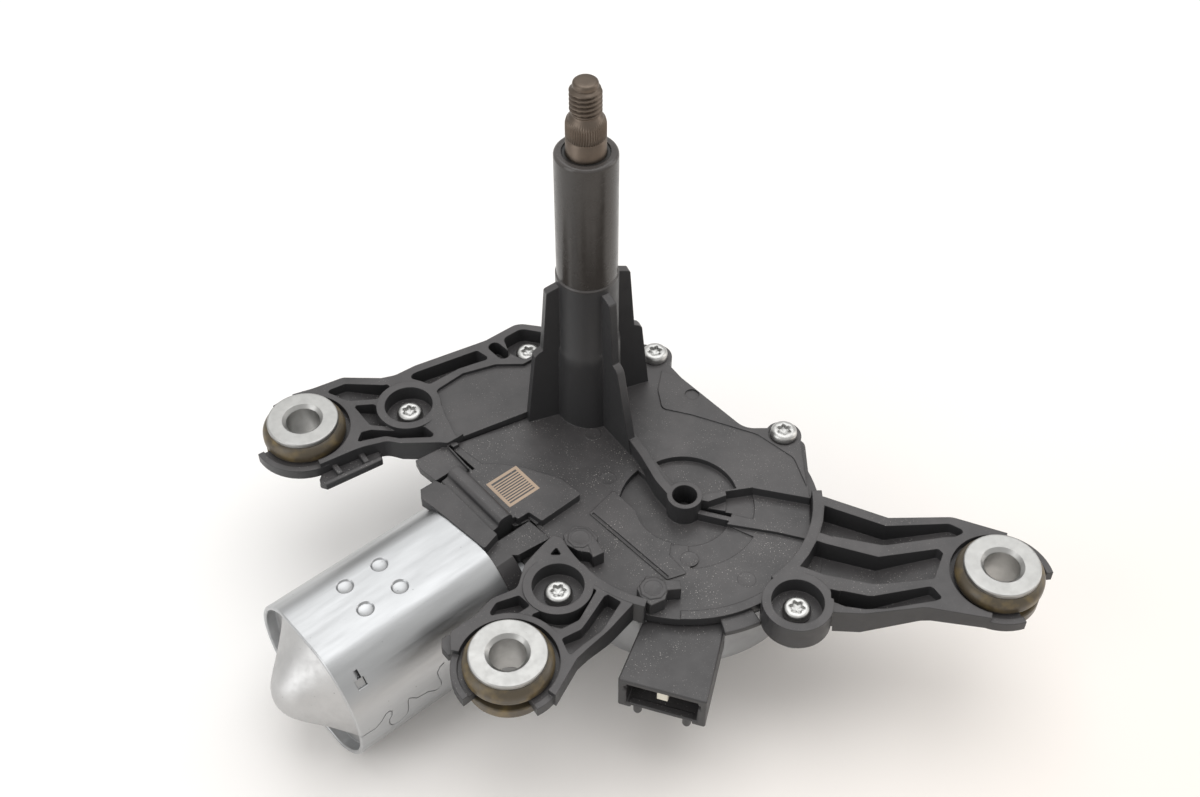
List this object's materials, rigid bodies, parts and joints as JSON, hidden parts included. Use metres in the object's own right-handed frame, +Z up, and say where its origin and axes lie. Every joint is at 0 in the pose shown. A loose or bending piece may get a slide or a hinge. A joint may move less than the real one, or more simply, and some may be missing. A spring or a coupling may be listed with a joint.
{
  "type": "rear_window_wiper_motor",
  "caption": "Geared wiper motor: worm gear under a moulded cover with rubber mounted arms, a tall tower with a knurled and threaded spindle, a steel motor can and a plug socket",
  "frame": {"origin": "on the spindle axis, where the knurled taper ends and the thread of the stud begins", "axes": "+Z runs up the spindle towards the wiper arm; X is parallel to the motor shaft with the can at -X; +Y completes a right-handed frame"},
  "size_m": [0.1673, 0.1815, 0.1462],
  "materials": {
    "bearing_steel": "ground",
    "black_holder": "satin",
    "black_moulding": "satin",
    "black_socket": "satin",
    "bright_zinc": "bright zinc",
    "brush_carbon": "sintered",
    "bushing_zinc": "zinc plated",
    "cast_aluminium": "cast",
    "clip_steel": "spring",
    "commutator_copper": "turned",
    "contact_brass": "satin",
    "core_steel": "laminated",
    "gear_nylon": "satin",
    "lever_steel": "pressed",
    "magnet_ferrite": "sintered",
    "mount_rubber": "satin",
    "pin_steel": "ground",
    "rod_steel": "pressed",
    "seal_rubber": "matte",
    "shaft_steel": "ground",
    "sintered_bronze": "sintered",
    "spindle_steel": "worn",
    "spring_bronze": "satin",
    "tinned_brass": "tinned",
    "washer_nylon": "satin",
    "winding_copper": "enamelled",
    "zinc_can": "zinc plated",
    "zinc_plate": "zinc plated"
  },
  "bodies": {
    "base": {"brush_holder": "black_holder", "brush_springs": "clip_steel", "brushes": "brush_carbon", "bushing_a": "bushing_zinc", "bushing_b": "bushing_zinc", "bushing_c": "bushing_zinc", "bushing_washers": "bushing_zinc", "chokes": "winding_copper", "connector_housing": "black_socket", "connector_terminals": "tinned_brass", "contact_springs": "spring_bronze", "cover": "black_moulding", "cover_gasket": "seal_rubber", "cover_screws": "bright_zinc", "end_plate": "zinc_plate", "front_bearing": "bearing_steel", "gear_housing": "cast_aluminium", "grommet_a": "mount_rubber", "grommet_b": "mount_rubber", "grommet_c": "mount_rubber", "lower_bush": "sintered_bronze", "magnet_clips": "clip_steel", "magnets": "magnet_ferrite", "nose_bush": "sintered_bronze", "rear_bush": "sintered_bronze", "shaft_seal": "seal_rubber", "thrust_pad": "washer_nylon", "thrust_washer": "washer_nylon", "upper_bush": "sintered_bronze", "wheel_axle": "pin_steel", "yoke_can": "zinc_can"},
    "armature": {"armature_shaft": "shaft_steel", "armature_core": "core_steel", "windings": "winding_copper", "commutator": "commutator_copper", "bearing_inner": "bearing_steel"},
    "wheel": {"worm_wheel": "gear_nylon", "contact_ring": "contact_brass", "crank_pin": "pin_steel"},
    "spindle_body": {"spindle": "spindle_steel", "lever": "lever_steel", "lever_pin": "pin_steel"},
    "rod_body": {"connecting_rod": "rod_steel"}
  },
  "joints": [
    {"name": "armature_spin", "type": "hinge", "parent": "base", "child": "armature", "pos_m": [-0.08, -0.0151, -0.1167], "axis": [1, 0, 0], "continuous": true},
    {"name": "wheel_spin", "type": "hinge", "parent": "base", "child": "wheel", "pos_m": [-0.0043, -0.0442, -0.1167], "axis": [0, 0, 1], "continuous": true},
    {"name": "spindle_swing", "type": "hinge", "parent": "base", "child": "spindle_body", "pos_m": [0, 0, 0], "axis": [0, 0, 1], "range_deg": [0, 110]},
    {"name": "rod_swing", "type": "hinge", "parent": "spindle_body", "child": "rod_body", "pos_m": [-0.00745, 0.00941, -0.1086], "axis": [0, 0, 1], "range_deg": [-110, 0]}
  ],
  "couplings": [
    {"joint": "wheel_spin", "follows": "armature_spin", "ratio": 0.020408},
    {"joint": "rod_swing", "follows": "spindle_swing", "ratio": -1}
  ]
}
